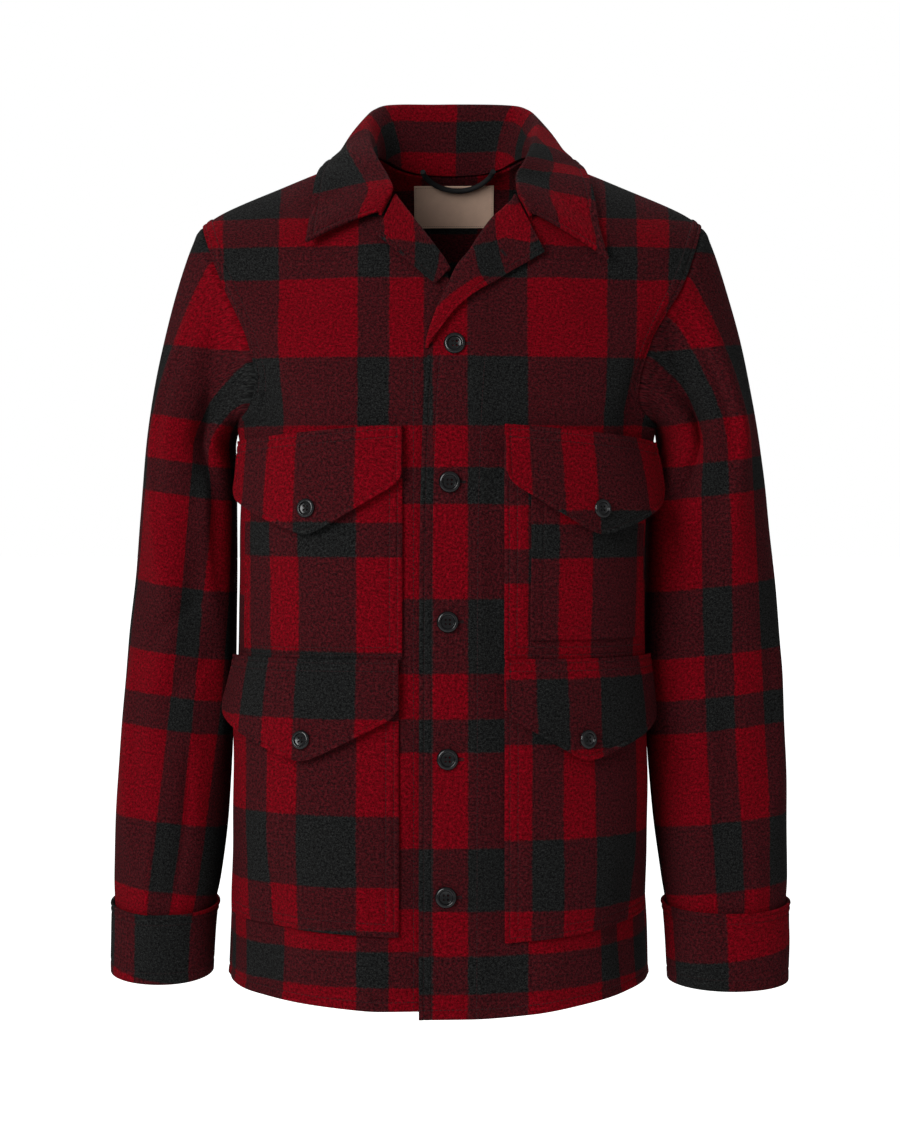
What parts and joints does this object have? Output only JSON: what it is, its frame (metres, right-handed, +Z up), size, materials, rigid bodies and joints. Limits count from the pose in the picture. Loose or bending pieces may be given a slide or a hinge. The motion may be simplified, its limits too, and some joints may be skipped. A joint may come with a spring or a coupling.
{
  "type": "wool overshirt",
  "caption": "Worn-form wool overshirt in a large two-colour check: fold-down collar, small lapels, button front, flapped patch pockets, deep cuffs; hollow, open at neck, hem and cuffs.",
  "frame": {"origin": "base of the neck, level with the high points of the shoulders and midway between front and back, where the wearer's shoulders hold the garment up", "axes": "+Z up along the garment, which faces -Y; the wearer's left is +X"},
  "size_m": [0.6225, 0.2847, 0.8251],
  "materials": {
    "wool_check": "matte napped wool in a red and black check",
    "button_black": "glossy",
    "label_linen": "plain woven linen, bare",
    "tape_black": "ribbed tape"
  },
  "bodies": {
    "root": {"back": "wool_check", "button_chest_left": "button_black", "button_chest_right": "button_black", "button_front_1": "button_black", "button_front_2": "button_black", "button_front_3": "button_black", "button_front_4": "button_black", "button_front_5": "button_black", "button_hip_left": "button_black", "button_hip_right": "button_black", "chest_flap_left": "wool_check", "chest_flap_right": "wool_check", "chest_pocket_left": "wool_check", "chest_pocket_right": "wool_check", "collar": "wool_check", "cuff_left": "wool_check", "cuff_right": "wool_check", "front_left": "wool_check", "front_right": "wool_check", "hanger_loop": "tape_black", "hip_flap_left": "wool_check", "hip_flap_right": "wool_check", "hip_pocket_left": "wool_check", "hip_pocket_right": "wool_check", "lapel_left": "wool_check", "lapel_right": "wool_check", "neck_label": "label_linen", "pencil_pocket_left": "wool_check", "sleeve_left": "wool_check", "sleeve_right": "wool_check"}
  },
  "joints": []
}
